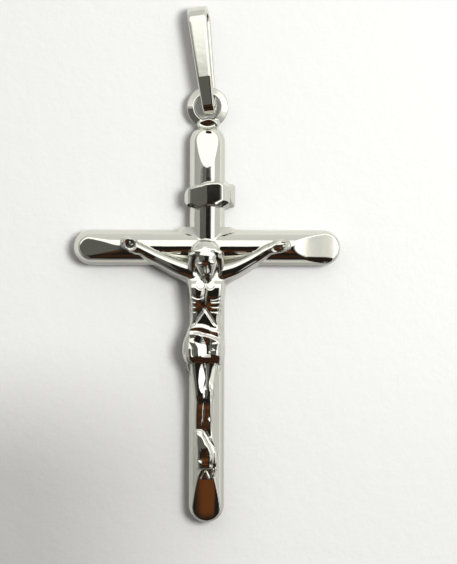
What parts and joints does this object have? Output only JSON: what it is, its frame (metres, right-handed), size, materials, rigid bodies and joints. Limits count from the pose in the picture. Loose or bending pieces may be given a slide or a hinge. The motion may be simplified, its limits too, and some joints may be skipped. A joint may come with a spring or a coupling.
{
  "type": "crucifix charm pendant",
  "caption": "Polished white metal crucifix charm lying on its back, with a relief figure, a bare title scroll, an eye ring and a loose tapered bail.",
  "frame": {"origin": "under the middle of the pendant's length and width, on the surface that it lies on", "axes": "+X along the crossbar to the viewer's right, +Y up the upright towards the bail, +Z out of the front"},
  "size_m": [0.0196, 0.038, 0.0036],
  "materials": {
    "polished_white_metal": "mirror polished"
  },
  "bodies": {
    "cross_body": {"crucifix": "polished_white_metal"},
    "bail_body": {"bail": "polished_white_metal"}
  },
  "joints": [
    {"name": "bail_swing", "type": "hinge", "parent": "cross_body", "child": "bail_body", "pos_m": [0, 0.01274, 0.00118], "axis": [1, 0, 0], "range_deg": [-135, 120]}
  ]
}
